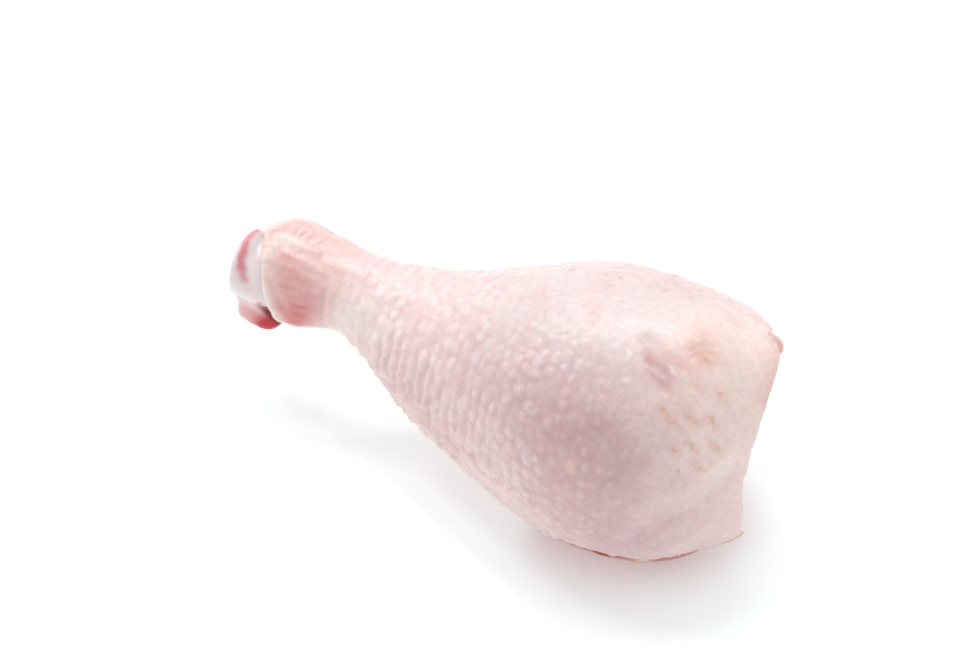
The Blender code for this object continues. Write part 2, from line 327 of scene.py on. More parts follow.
def round_leg(leg):
    """The angle round the leg, from 0 on top to 90 at the front, and the outward direction."""
    held = np.clip(leg[:, 0], *ROUND_PART)
    _, middle_across, middle_above = axis_at(held)
    across = leg[:, 1] - middle_across
    above = leg[:, 2] - middle_above
    outward = np.stack([leg[:, 0] - held, across, above], axis=1)
    outward /= np.linalg.norm(outward, axis=1)[:, None]
    return np.degrees(np.arctan2(-across, above)) % 360, turn_from_leg(outward)


def round_bone(leg):
    """Across and above from the bone's middle, the distance from it and the angle round it."""
    across = leg[:, 1] - at_station(BONE_ACROSS, leg[:, 0])
    above = leg[:, 2] - BONE_ABOVE
    return across, above, np.hypot(across, above), np.arctan2(above, across)


def store_mask(piece, name, values):
    """Keeps a mask on the piece's points, for its material to read."""
    made = piece.data.attributes.new(name, "FLOAT", "POINT")
    made.data.foreach_set("value", np.asarray(values, np.float32))


# Feather follicles stand in rings round the leg, every second ring shifted by half a step: the
# stations between which they stand, from ring to ring, from one to the next, and the wander, in mm
FOLLICLE_FIRST = 9
FOLLICLE_LAST = 104
FOLLICLE_ROW = 2.45
FOLLICLE_STEP = 2.6
FOLLICLE_WANDER = 0.7

# The follicles' domes along the leg in mm: station and height; station, half length, half width
DOME_HEIGHT = ((8, 0), (14, 0.2), (24, 0.6), (62, 0.66), (76, 0.36), (98, 0.06))
DOME_SIZE = ((10, 1.25, 2.3), (30, 1.35, 2.1), (60, 1.6, 1.8), (76, 1.1, 1.3))

# How far from a follicle's middle its dome can reach, in mm
DOME_REACH = 2.6

# How strongly the tops of the domes show as pale, partly their paler skin and partly painted light on
# their tops: station and share
DOME_PALENESS = ((42, 0.5), (56, 0.75), (70, 1))

# Half length and half width in mm of the pores that the plucked feathers left at the back
PORE_SIZE = (0.4, 0.6)

# Further from the leg's axis than any of its skin, in mm
WELL_OUTSIDE = 45


def follicles(surface):
    """Each follicle's place on the skin and its station along the leg."""
    chance = np.random.default_rng(11)
    made = []
    stations = np.arange(FOLLICLE_FIRST, FOLLICLE_LAST, FOLLICLE_ROW)
    for row, station in enumerate(stations):
        radius, across, above = axis_at(station)
        count = max(10, round(2 * math.pi * radius / FOLLICLE_STEP))
        for index in range(count):
            shift = chance.uniform(-0.3, 0.3)
            angle = 2 * math.pi * (index + 0.5 * (row % 2) + shift) / count
            there = station + chance.uniform(-FOLLICLE_WANDER, FOLLICLE_WANDER)
            out = np.array((0, -math.sin(angle), math.cos(angle)))
            middle = from_leg(there, across, above)
            outside = Vector((middle + out * WELL_OUTSIDE) / 1000)
            place, normal, _, _ = surface.ray_cast(outside, Vector(-out))
            if place is None or normal.dot(Vector(out)) < 0.3:
                continue
            made.append((np.array(place) * 1000, there))
    return made


def raise_follicles(points, places, bareness, slack):
    """The follicles' heights in mm, and masks of their pale tops, partly painted light, their pores,
    and the skin between, which takes a painted shade.
    """
    chance = np.random.default_rng(12)
    height = np.zeros(len(points))
    pale = np.zeros(len(points))
    pore = np.zeros(len(points))
    between = np.ones(len(points))
    tree = KDTree(len(points))
    for index, point in enumerate(points):
        tree.insert(point, index)
    tree.balance()
    lengthwise = np.array((math.cos(LEG_PITCH), 0, -math.sin(LEG_PITCH)))
    for place, station in places:
        near = [found[1] for found in tree.find_range(Vector(place), DOME_REACH)]
        if not near:
            continue
        near = np.array(near)
        middle = near[np.argmin(((points[near] - place) ** 2).sum(axis=1))]
        smooth = bareness[middle]
        tall = at_station(DOME_HEIGHT, station)
        tall *= (1 - smooth) * chance.uniform(0.3, 1.15) * slack[middle]
        size = chance.uniform(0.75, 1.25)
        long = at_station(DOME_SIZE, station) * size
        wide = at_station(DOME_SIZE, station, 2) * size
        away = points[near] - place
        down = away @ lengthwise
        side = np.sqrt(np.maximum((away**2).sum(axis=1) - down**2, 0))
        spread = (down / long) ** 2 + (side / wide) ** 2
        dome = np.clip(1 - spread, 0, 1) ** 1.3
        height[near] = np.maximum(height[near], tall * dome)
        shown = at_station(DOME_PALENESS, station)
        pale[near] = np.maximum(pale[near], shown * dome**1.5 * min(1, tall / 0.4))
        risen = min(1, 3.2 * tall) * dome**0.6
        between[near] = np.minimum(between[near], 1 - risen)
        if place[1] > 6 and smooth > 0.35 and chance.uniform() < 0.3:
            dot = np.exp(-(((down / PORE_SIZE[0]) ** 2) + (side / PORE_SIZE[1]) ** 2))
            pore[near] = np.maximum(pore[near], dot * chance.uniform(0.3, 0.9))
    return height, pale, pore, between


# Where the photograph shows each tone of the skin: pixel, radius in mm, weight
EDGE_PINK = (
    ((400, 385), 3.5, 0.45),
    ((420, 410), 4.0, 0.55),
    ((445, 440), 4.0, 0.5),
    ((470, 455), 3.5, 0.4),
)
# The shank's pale band: partly its paler skin, partly painted light where its underside turns away
# from the light
SHANK_PALE_AND_PAINTED_LIGHT = (
    ((345, 308), 4.5, 0.9),
    ((366, 318), 4.5, 0.9),
    ((384, 330), 4.2, 1.0),
    ((405, 340), 4.0, 0.6),
    ((440, 362), 5.0, 0.4),
    ((400, 292), 6.0, 0.4),
    ((435, 305), 7.0, 0.4),
    ((480, 305), 7.0, 0.35),
    ((335, 322), 2.5, 0.5),
)
DARK_MEAT_SHOWS = (
    ((555, 415), 14, 0.4),
    ((605, 450), 14, 0.42),
    ((590, 525), 11, 0.4),
    ((640, 545), 9, 0.3),
    ((500, 390), 9, 0.25),
    ((490, 340), 8, 0.12),
    ((630, 350), 8, 0.22),
    ((690, 520), 9, 0.18),
)
CREAM_FAT_SHOWS = (
    ((725, 400), 11, 0.8),
    ((705, 345), 8, 0.6),
    ((738, 455), 8, 0.5),
    ((695, 440), 6, 0.5),
    ((755, 350), 6, 0.5),
    ((569, 465), 1.2, 0.8),
)
ROSE_MARKS = (
    ((650, 348), 1.7, 0.5),
    ((655, 358), 1.8, 0.6),
    ((659, 369), 1.9, 0.75),
    ((665, 380), 1.6, 0.7),
    ((670, 390), 1.1, 0.5),
    ((646, 368), 1.8, 0.35),
    ((657, 362), 5.0, 0.38),
)
PEACH_MARKS = (
    ((688, 350), 2.4, 0.6),
    ((694, 363), 2.6, 0.45),
    ((704, 344), 4.4, 0.6),
    ((714, 358), 2.6, 0.35),
    ((672, 402), 3.0, 0.35),
    ((690, 420), 4.0, 0.3),
    ((569, 465), 1.1, 0.7),
)
HOCK_SALMON = (
    ((289, 263), 3.0, 0.6),
    ((284, 285), 2.4, 0.55),
    ((300, 285), 3.4, 0.4),
    ((292, 302), 4.0, 0.5),
    ((296, 226), 3.0, 0.2),
    ((330, 250), 4.0, 0.1),
)
HOCK_REDNESS = (
    ((287, 313), 3.4, 0.6),
    ((303, 316), 3.4, 0.6),
    ((312, 300), 2.6, 0.3),
    ((294, 322), 2.4, 0.4),
    ((275, 306), 1.4, 0.35),
)
SMOOTH_SKIN = (
    ((720, 400), 13, 0.9),
    ((700, 330), 10, 0.9),
    ((735, 470), 10, 0.95),
    ((690, 520), 9, 0.8),
    ((655, 360), 6, 0.6),
    ((560, 275), 9, 0.5),
    ((450, 275), 6, 0.45),
    ((640, 280), 9, 0.6),
)

# Single pores and flecks: a pixel each, or the two ends of a fleck; the flecks are small raised
# crinkles, and their white is a painted glint
ORANGE_PORES = (
    (663, 410), (673, 423), (691, 418), (714, 422), (721, 394), (699, 386),
    (707, 359), (693, 447), (675, 451), (718, 450), (700, 469),
)
DARK_PORES = (((679, 472), 0.35, 1),)
FLECKS_WITH_PAINTED_GLINTS = (
    ((619, 323), (622, 326)),
    ((679, 339), (682, 342)),
    ((672, 368), (674, 373)),
    ((629, 353), (628, 358)),
    ((624, 381), (629, 380)),
    ((689, 318), (693, 321)),
    ((661, 331), (664, 330)),
    ((684, 374), (688, 378)),
)
FLECK_WIDTH = 0.5
FLECK_HEIGHT = 0.15

# The thick pale rim of the cuff, a line of pixels
CUFF_RIM = (
    (284, 324), (272, 314), (266, 300), (262, 285),
    (261, 262), (263, 238), (280, 237), (298, 244),
)

# The reddened edges of the skin at the cut: along the bottom, and down the right end
BOTTOM_EDGE = ((702, 553), (712, 549), (722, 545), (731, 541), (742, 535))
END_BLUSH = ((742, 300), (762, 318), (773, 340), (775, 370), (768, 400))

# The tallest follicles, most in the lower outline: pixel, radius and added height in mm
BIG_DOMES = (
    ((505, 488), 1.7, 0.6),
    ((530, 505), 1.7, 0.55),
    ((518, 478), 1.3, 0.3),
    ((481, 462), 1.5, 0.5),
    ((551, 520), 1.5, 0.35),
    ((456, 436), 1.4, 0.45),
    ((425, 405), 1.3, 0.35),
    ((569, 465), 1.2, 0.3),
)

# Fine creases slant over the cream skin: their spacing in mm, the share by which length along the
# slant is shortened to draw them out, their height in mm, and where: pixel, radius in mm, weight
CREASE_STEP = 1.1
CREASE_STRETCH = 0.84
CREASE_HEIGHT = 0.14
SLANT_CREASES = (
    ((700, 380), 8, 0.8),
    ((720, 430), 8, 0.8),
    ((690, 460), 7, 0.6),
    ((700, 500), 8, 0.4),
)

# Where the skin is fuller over the top of the cut: pixel, radius and height in mm
FULLER_END = ((766, 345), 6.0, 0.7)

# Soft folds and dents in the skin: line of pixels, half width and height in mm
SKIN_FOLDS = (
    (((263, 235), (280, 236), (296, 242), (308, 248), (318, 252)), 1.0, 0.65),
    (((270, 245), (283, 246), (297, 252)), 1.2, -0.3),
    (((281, 230), (286, 223)), 0.45, -0.22),
    (((288, 231), (293, 226)), 0.4, -0.28),
    (((293, 235), (301, 226)), 0.45, -0.3),
    (((301, 236), (307, 231)), 0.4, -0.25),
    (((308, 241), (318, 234)), 0.5, -0.25),
    (((317, 245), (328, 240)), 0.45, -0.2),
    (((292, 214), (302, 214)), 2.6, 0.7),
    (((323, 325), (321, 308), (325, 292)), 0.7, -0.3),
    (((329, 325), (328, 308), (331, 292)), 0.9, 0.25),
    (((276, 318), (268, 305), (264, 285), (263, 262), (265, 240)), 0.9, 0.4),
    (((284, 313), (276, 300), (272, 283), (271, 262), (273, 250)), 1.2, -0.4),
    (((300, 296), (292, 282), (290, 268)), 1.0, 0.2),
    (((648, 340), (656, 362), (664, 386)), 1.9, -0.5),
    (((672, 335), (678, 355), (684, 372)), 1.3, 0.25),
    (((690, 400), (706, 420), (720, 436)), 1.1, 0.16),
    (((640, 505), (685, 488), (725, 450)), 2.6, 0.4),
    (((650, 530), (700, 506), (738, 468)), 2.0, -0.42),
    (((668, 548), (712, 524), (744, 492)), 1.8, 0.35),
    (((600, 548), (640, 540), (680, 520)), 1.5, -0.25),
    (((690, 358), (704, 352), (716, 356)), 0.6, -0.2),
    (((692, 350), (706, 344), (720, 347)), 0.6, -0.15),
    (((738, 305), (746, 350), (742, 400)), 2.4, -0.3),
    (((755, 330), (760, 365), (752, 410)), 2.2, 0.2),
)

# How far the skin is pulled in, in mm, to make up for the relief that is added
SKIN_SINK = 0.45

# Where the loose skin hangs: pixel, radius, then how far to the right and down, in mm
LOOSE_SKIN = (
    ((284, 318), 4.2, 0.3, 1.0),
    ((765, 322), 4.5, 0.7, 0),
    ((769, 362), 5.0, 0.7, 0),
)


def hung(points, surface, places):
    """How far the loose skin hangs at each point, in mm."""
    right, up, _ = camera_axes()
    moved = np.zeros(points.shape)
    for pixel, radius, aside, below in places:
        share = seen_patch(points, surface, ((pixel, radius, 1.0),))
        moved += np.outer(share, np.array(right * aside - up * below))
    return moved


class SkinZones:
    """The parts of the skin that its relief and its tones share, one value a point."""

    def __init__(self, piece, surface):
        self.surface = surface
        self.points, self.normals = points_of(piece)
        self.leg = along_leg(self.points)
        self.station = self.leg[:, 0]
        self.angle, outward = round_leg(self.leg)
        self.facing = (self.normals * outward).sum(axis=1)
        self.outer = smoothstep(0.15, 0.6, self.facing)
        self.hock = 1 - smoothstep(*HOCK_TO_SHANK, self.station)
        from_top = (self.angle + 180) % 360 - 180
        self.top_band = bell(from_top, 8, 38) * smoothstep(30, 50, self.station)
        bareness = self.patch(SMOOTH_SKIN, mirrored=0.6)
        self.bareness = np.clip(bareness + 0.35 * self.top_band, 0, 1)
        right, up, _ = camera_axes()
        diagonal = np.array((right - up).normalized())
        along = np.outer(self.points @ diagonal, diagonal)
        self.slant = self.points - along * CREASE_STRETCH
        self.creases = lumps(self.slant, (CREASE_STEP,) * 3, 10)
        self.creased = self.patch(SLANT_CREASES, mirrored=0.8)
        slack = 0.85 + 0.4 * lumps(self.leg, (9, 9, 9), 9)
        raised = raise_follicles(self.points, follicles(surface), self.bareness, slack)
        self.height, self.pale, self.pore, self.between = raised

    def patch(self, spots, mirrored=0.0):
        return seen_patch(self.points, self.surface, spots, mirrored)

    def line(self, pixels, width):
        return seen_line(self.points, self.surface, pixels, width)


def skin_relief(zones):
    """The skin's relief in mm: slackness, ring and hock wrinkles, folds and follicles."""
    leg, station, angle = zones.leg, zones.station, zones.angle
    chunky = 0.12 + 0.14 * bell(angle, 115, 40) * (1 - smoothstep(*CALF_TO_END, station))
    soft = 0.3 * lumps(leg, (17, 13, 13), 1) + chunky * lumps(leg, (5.5, 4.5, 4.5), 2)
    soft *= smoothstep(*SHANK_TO_CALF, station)
    rings = lumps(leg, (1.6, 7, 7), 3) * bell(station, 34, 20) * 0.22
    streaks = 0.14 * lumps(leg, (7, 1.1, 1.1), 4) + 0.08 * lumps(leg, (3, 0.6, 0.6), 5)
    streaks *= zones.hock
    folds = seen_lines(zones.points, zones.surface, SKIN_FOLDS)
    for ends in FLECKS_WITH_PAINTED_GLINTS:
        folds += FLECK_HEIGHT * zones.line(ends, FLECK_WIDTH)
    for pixel, radius, tall in BIG_DOMES:
        folds += tall * zones.patch(((pixel, radius, 1.0),))
    folds += CREASE_HEIGHT * zones.creases * zones.creased
    fuller, radius, tall = FULLER_END
    folds += tall * zones.patch(((fuller, radius, 1.0),))
    wobble = 0.5 * lumps(leg, (6, 5, 5), 16)
    ring_turn = 2 * np.pi * (station - FOLLICLE_FIRST + wobble) / FOLLICLE_ROW
    ringed = 0.13 * np.cos(ring_turn) * bell(station, 32, 15) * (1 - zones.bareness)
    return zones.height + soft + rings + ringed + streaks + folds - SKIN_SINK


def skin_tones(piece, zones):
    """Masks of the skin's larger tones: meat and fat that show through, blush and blotches, and
    painted light on the top and on the shank.
    """
    leg, station = zones.leg, zones.station
    wander = 0.7 * lumps(leg, (7, 6, 6), 6) + 0.5 * lumps(leg, (2.6, 2.6, 2.6), 13)
    dark = zones.patch(DARK_MEAT_SHOWS, mirrored=0.9) * (1 + 0.4 * wander)
    store_mask(piece, "dark_meat_shows", np.clip(dark, 0, 1))
    store_mask(piece, "cream_fat_shows", zones.patch(CREAM_FAT_SHOWS, mirrored=0.8))
    store_mask(piece, "edge_pink", zones.patch(EDGE_PINK, mirrored=0.6))
    store_mask(piece, "shank_pale_and_painted_light", zones.patch(SHANK_PALE_AND_PAINTED_LIGHT, mirrored=0.3))
    store_mask(piece, "end_blush", zones.line(END_BLUSH, 1.8))
    store_mask(piece, "bottom_edge", zones.line(BOTTOM_EDGE, 0.7))
    store_mask(piece, "slant_streak", smoothstep(0.0, 0.9, zones.creases) * zones.creased)
    blotch = smoothstep(0.05, 0.8, lumps(leg, (2.8, 3.4, 3.4), 14)) * smoothstep(14, 30, station)
    blotch *= 1 - smoothstep(66, 84, station)
    store_mask(piece, "pink_blotch", blotch * zones.outer)
    # Painted light: the top band is paled and made less pink, as if washed out by the light from above
    painted_top_light = np.clip(1.15 * zones.top_band, 0, 1) * (1 - smoothstep(92, 100, station))
    store_mask(piece, "painted_top_light", painted_top_light)
    broken = 0.75 + 0.6 * lumps(zones.slant, (1.4, 1.4, 1.4), 17)
    for name, marks in (("rose_mark", ROSE_MARKS), ("peach_mark", PEACH_MARKS)):
        store_mask(piece, name, np.clip(zones.patch(marks) * broken, 0, 1))


def hock_tones(piece, zones):
    """Masks of the hock: its redder skin, salmon and red places, and the pale rim of its cuff."""
    leg, station = zones.leg, zones.station
    store_mask(piece, "hock_skin", zones.hock)
    salmon = zones.patch(HOCK_SALMON, mirrored=0.7) * (0.8 + 0.5 * lumps(leg, (5, 0.9, 0.9), 7))
    store_mask(piece, "hock_salmon", np.clip(salmon, 0, 1) * (1 - smoothstep(10, 15, station)))
    redness = zones.patch(HOCK_REDNESS, mirrored=0.5)
    store_mask(piece, "hock_redness", redness * (1 - smoothstep(11, 13, station)))
    rim_end = station - 3.5 * bell(zones.angle, 180, 60)
    cuff = np.maximum(zones.line(CUFF_RIM, 1.5), 1 - smoothstep(-8.5, -6, rim_end))
    store_mask(piece, "cuff_edge", np.clip(cuff, 0, 1))


def follicle_tones(piece, zones):
    """Masks of the domes' pale tops, partly painted light, the painted shade between them, the pores
    and the small flecks' painted glints.
    """
    station = zones.station
    # Pale tops of the domes: partly the follicles' paler skin, partly painted light
    store_mask(piece, "follicle_top_pale_and_painted_light", zones.pale * zones.outer)
    # Painted shade in the low skin between the domes, partly the pinker thin skin there
    between = zones.between * smoothstep(16, 28, station) * (1 - smoothstep(72, 90, station))
    store_mask(piece, "crease_pink_and_painted_shade", between * (1 - zones.bareness) * zones.outer)
    pore = zones.pore
    chance = np.random.default_rng(15)
    for x, y in ORANGE_PORES:
        wide, dark_part, turn = chance.uniform((0.32, 0.45, -1.5), (0.55, 1.0, 1.5))
        mark = zones.line(((x - 1, y - 1 - turn), (x + 1, y + 1 + turn)), wide)
        smear = zones.line(((x - 5, y - 4), (x + 5, y + 4 + turn)), 0.9)
        pore = np.maximum(pore, np.maximum(dark_part * mark, 0.3 * smear))
    store_mask(piece, "follicle_pore", pore * zones.outer)
    store_mask(piece, "dark_pore", zones.patch(DARK_PORES))
    # Painted glints: the flecks' white on the small crinkles
    flecks = np.max([zones.line(ends, FLECK_WIDTH) for ends in FLECKS_WITH_PAINTED_GLINTS], axis=0)
    flecks *= 0.6 + 0.5 * lumps(zones.points, (0.9, 0.9, 0.9), 8)
    store_mask(piece, "painted_glint_fleck", flecks)


def thin_out(piece, hidden, share):
    """Leaves that share of the faces whose points are all hidden."""
    select_only(piece)
    flags = np.zeros(len(piece.data.polygons), bool)
    for polygon in piece.data.polygons:
        flags[polygon.index] = all(hidden[index] for index in polygon.vertices)
    bpy.ops.object.mode_set(mode="EDIT")
    bpy.ops.mesh.select_all(action="DESELECT")
    bpy.ops.object.mode_set(mode="OBJECT")
    piece.data.polygons.foreach_set("select", flags)
    bpy.ops.object.mode_set(mode="EDIT")
    bpy.ops.mesh.decimate(ratio=share)
    bpy.ops.object.mode_set(mode="OBJECT")


def linear(colour):
    """An sRGB hex colour in linear light."""
    made = []
    for start in (1, 3, 5):
        value = int(colour[start : start + 2], 16) / 255
        made.append(value / 12.92 if value <= 0.04045 else ((value + 0.055) / 1.055) ** 2.4)
    return (*made, 1)


def add(tree, kind, settings, inputs):
    """Adds a node with its settings; each input gets a value, or a link where it is an output."""
    made = tree.nodes.new(kind)
    for name, value in settings.items():
        setattr(made, name, value)
    for name, value in inputs.items():
        if isinstance(value, bpy.types.NodeSocket):
            tree.links.new(value, made.inputs[name])
        else:
            made.inputs[name].default_value = value
    return made


def material(name):
    made = bpy.data.materials.new(name)
    made.use_nodes = True
    made.node_tree.nodes.clear()
    return made, made.node_tree


def in_mm(tree):
    """The piece's own coordinates in mm."""
    place = add(tree, "ShaderNodeTexCoord", {}, {}).outputs["Object"]
    inputs = {"Vector": place, "Scale": (1000, 1000, 1000)}
    return add(tree, "ShaderNodeMapping", {}, inputs).outputs["Vector"]


def tinted(tree, colour, tints):
    """Lays shades over a colour, each where its mask is, as strongly as it says."""
    for mask, shade, strength in tints:
        amount = add(tree, "ShaderNodeAttribute", {"attribute_name": mask}, {}).outputs["Fac"]
        inputs = {0: amount, 1: strength}
        amount = add(tree, "ShaderNodeMath", {"operation": "MULTIPLY"}, inputs).outputs[0]
        inputs = {0: amount, 6: colour, 7: linear(shade)}
        colour = add(tree, "ShaderNodeMix", {"data_type": "RGBA"}, inputs).outputs[2]
    return colour


# The tones of skin, meat and cartilage: mask, shade and strength, each laid over the last
SKIN_TONES = (
    ("dark_meat_shows", "#c498a0", 0.95),
    # painted light on the top
    ("painted_top_light", "#e5dcdb", 0.7),
    ("pink_blotch", "#e6b9b5", 0.26),
    ("edge_pink", "#dfaaa8", 0.6),
    # pale band of the shank, partly painted light
    ("shank_pale_and_painted_light", "#ffebe7", 0.85),
    # between the domes, partly painted shade
    ("crease_pink_and_painted_shade", "#d9a8a9", 0.28),
    ("cream_fat_shows", "#fde5de", 0.8),
    ("slant_streak", "#e7bfb6", 0.35),
    ("end_blush", "#efc6c0", 0.6),
    ("hock_skin", "#efcdc8", 0.85),
    ("hock_salmon", "#e0a29c", 0.9),
    ("hock_redness", "#d76a69", 0.78),
    ("rose_mark", "#cb8d8d", 0.9),
    ("peach_mark", "#e0ab9e", 0.7),
    ("bottom_edge", "#dd8468", 0.8),
    ("cuff_edge", "#f6e7e0", 0.9),
    # pale dome tops, partly painted light
    ("follicle_top_pale_and_painted_light", "#f9e9e3", 0.32),
    ("follicle_pore", "#d8936f", 0.65),
    ("dark_pore", "#6d5346", 0.5),
    # painted glints on the flecks
    ("painted_glint_fleck", "#fbf4ee", 0.7),
)
MEAT_TONES = (
    ("membrane", "#e2b9ad", 1.0),
    ("lip", "#b23c2e", 1.0),
    ("fat", "#efd6a4", 1.0),
    ("tab", "#f0c3bc", 1.0),
)
CARTILAGE_TONES = (
    ("head_tint", "#e6b3b4", 0.8),
    ("head_blood", "#c4565c", 0.5),
    ("blood_tint", "#eba9af", 0.9),
    ("blood_streak", "#e08890", 0.85),
    ("blood_deep", "#c8081b", 0.98),
    # dark gap by the cuff, partly painted shade
    ("gap_blood_and_painted_shade", "#8c1524", 0.95),
)

# Skin: its two shades, and the sizes in mm of its mottling, its flecks and its fine grain
SKIN_SHADES = ("#edcfce", "#f4dedc")
SKIN_MOTTLE = 7
SKIN_FLECK = 1.3
SKIN_GRAIN = 0.55

# Meat: its fibres' two shades, its patches' shade, and the sizes of both in mm. Single fibres are
# too fine to show, so the pattern is as coarse as small bundles: 0.45 mm across, 1.8 mm along
MEAT_SHADES = ("#a03c40", "#d38079")
MEAT_PATCH_SHADE = "#c76b66"
MEAT_PATCH = 6
MEAT_FIBRE = 0.625
FIBRE_SCALE = (0.35, 1.4, 1.4)

# Cartilage: its two shades, and the size in mm of the clouds in it
CARTILAGE_SHADES = ("#eadfe2", "#f8f0f0")
CARTILAGE_CLOUD = 3


# Raw chicken skin: thin, wet and translucent, so light goes in and comes back soft and pink
def raw_skin():
    made, tree = material("raw_chicken_skin")
    mm = in_mm(tree)
    inputs = {"Vector": mm, "Scale": 1 / SKIN_MOTTLE, "Detail": 3.0, "Roughness": 0.6}
    mottle = add(tree, "ShaderNodeTexNoise", {}, inputs).outputs["Fac"]
    inputs = {"Vector": mm, "Scale": 1 / SKIN_FLECK, "Detail": 3.0, "Roughness": 0.65}
    fine = add(tree, "ShaderNodeTexNoise", {}, inputs).outputs["Fac"]
    inputs = {0: mottle, 6: linear(SKIN_SHADES[0]), 7: linear(SKIN_SHADES[1])}
    colour = add(tree, "ShaderNodeMix", {"data_type": "RGBA"}, inputs).outputs[2]
    colour = tinted(tree, colour, SKIN_TONES)
    inputs = {"Value": fine, "From Min": 0.35, "From Max": 0.7, "To Min": 0.93, "To Max": 1.05}
    flecked = add(tree, "ShaderNodeMapRange", {}, inputs).outputs[0]
    inputs = {0: colour, "Scale": flecked}
    colour = add(tree, "ShaderNodeVectorMath", {"operation": "SCALE"}, inputs).outputs[0]
    inputs = {"Value": mottle, "From Min": 0.3, "From Max": 0.7, "To Min": 0.34, "To Max": 0.5}
    wetness = add(tree, "ShaderNodeMapRange", {}, inputs).outputs[0]
    inputs = {"Vector": mm, "Scale": 1 / SKIN_GRAIN, "Detail": 2.0}
    grain = add(tree, "ShaderNodeTexNoise", {}, inputs).outputs["Fac"]
    inputs = {"Height": grain, "Strength": 0.5, "Distance": 0.00016}
    bump = add(tree, "ShaderNodeBump", {}, inputs).outputs["Normal"]
    inputs = {
        "Base Color": colour,
        "Roughness": wetness,
        "IOR": 1.42,
        "Normal": bump,
        "Subsurface Weight": 0.6,
        "Subsurface Radius": (1.0, 0.45, 0.35),
        "Subsurface Scale": 0.001,
        "Coat Weight": 0.42,
        "Coat Roughness": 0.2,
        "Coat IOR": 1.35,
    }
    shader = add(tree, "ShaderNodeBsdfPrincipled", {"subsurface_method": "RANDOM_WALK"}, inputs)
    add(tree, "ShaderNodeOutputMaterial", {}, {"Surface": shader.outputs[0]})
    return made


# Raw dark meat: wet muscle fibres in bundles, deep pink-red, with whitish membrane over them
def raw_meat():
    made, tree = material("raw_dark_meat")
    mm = in_mm(tree)
    inputs = {"Vector": mm, "Scale": FIBRE_SCALE}
    lengthwise = add(tree, "ShaderNodeMapping", {}, inputs).outputs[0]
    inputs = {"Vector": lengthwise, "Scale": 1 / MEAT_FIBRE, "Detail": 3.0, "Distortion": 0.4}
    fibres = add(tree, "ShaderNodeTexNoise", {}, inputs).outputs["Fac"]
    inputs = {"Vector": mm, "Scale": 1 / MEAT_PATCH, "Detail": 2.0}
    patches = add(tree, "ShaderNodeTexNoise", {}, inputs).outputs["Fac"]
    inputs = {0: fibres, 6: linear(MEAT_SHADES[0]), 7: linear(MEAT_SHADES[1])}
    colour = add(tree, "ShaderNodeMix", {"data_type": "RGBA"}, inputs).outputs[2]
    inputs = {0: patches, 6: colour, 7: linear(MEAT_PATCH_SHADE)}
    colour = add(tree, "ShaderNodeMix", {"data_type": "RGBA"}, inputs).outputs[2]
    colour = tinted(tree, colour, MEAT_TONES)
    inputs = {"Height": fibres, "Strength": 0.5, "Distance": 0.0003}
    bump = add(tree, "ShaderNodeBump", {}, inputs).outputs["Normal"]
    inputs = {
        "Base Color": colour,
        "Roughness": 0.34,
        "IOR": 1.4,
        "Normal": bump,
        "Subsurface Weight": 0.4,
        "Subsurface Radius": (1.0, 0.3, 0.2),
        "Subsurface Scale": 0.002,
        "Coat Weight": 0.6,
        "Coat Roughness": 0.12,
    }
    shader = add(tree, "ShaderNodeBsdfPrincipled", {}, inputs)
    add(tree, "ShaderNodeOutputMaterial", {}, {"Surface": shader.outputs[0]})
    return made


# Joint cartilage: a smooth bluish-white cap, wet, with blood in streaks where the foot was cut off
def joint_cartilage():
    made, tree = material("joint_cartilage")
    mm = in_mm(tree)
    inputs = {"Vector": mm, "Scale": 1 / CARTILAGE_CLOUD, "Detail": 3.0}
    cloud = add(tree, "ShaderNodeTexNoise", {}, inputs).outputs["Fac"]
    inputs = {0: cloud, 6: linear(CARTILAGE_SHADES[0]), 7: linear(CARTILAGE_SHADES[1])}
    colour = add(tree, "ShaderNodeMix", {"data_type": "RGBA"}, inputs).outputs[2]
    colour = tinted(tree, colour, CARTILAGE_TONES)
    inputs = {
        "Base Color": colour,
        "Roughness": 0.3,
        "IOR": 1.4,
        "Subsurface Weight": 0.25,
        "Subsurface Radius": (1.0, 0.5, 0.45),
        "Subsurface Scale": 0.001,
        "Coat Weight": 0.2,
        "Coat Roughness": 0.12,
    }
    shader = add(tree, "ShaderNodeBsdfPrincipled", {}, inputs)
    add(tree, "ShaderNodeOutputMaterial", {}, {"Surface": shader.outputs[0]})
    return made


# Blood on the knuckle: pixel, radius in mm, weight
KNUCKLE_TINT = (
    ((233, 268), 1.6, 0.3),
    ((246, 288), 2.0, 0.3),
    ((257, 262), 0.8, 0.35),
    ((248, 316), 3.4, 0.75),
    ((243, 306), 2.0, 0.6),
    ((262, 322), 3.4, 0.8),
)
KNUCKLE_DEEP = (
    ((265, 318), 2.6, 1.0),
    ((258, 323), 1.8, 0.7),
    ((272, 320), 2.6, 1.0),
)
# Dark red in the gap between the lower lobe and the cuff: partly blood, partly painted shade where the
# gap lies in shadow
KNUCKLE_GAP_BLOOD_AND_SHADE = (
    ((263, 307), 1.2, 1.0),
    ((268, 312), 1.6, 1.0),
    ((273, 318), 1.2, 0.8),
)

# The long streak on the upper lobe, the groove between the lobes, its height, and a nub beside it
KNUCKLE_STREAK = ((256, 229), (247, 240), (242, 254), (241, 267), (245, 279))
KNUCKLE_GROOVE = ((241, 299), (250, 303), (258, 307), (266, 311))
KNUCKLE_WAIST = (252, 304)
KNUCKLE_NUB = ((258, 303), 0.5, 1.0)

# The lower lobe, and how far it lies to the right and down of the solid's, in mm
LOWER_LOBE = ((268, 319), 4.6, 1.0)
LOBE_RIGHT, LOBE_DOWN = 1.6, 1.3

# The bone's head in the cut: how deep the notch between its two condyles is, and how far back, in mm
NOTCH_DEPTH = 1.9
HEAD_BACK = 1.6

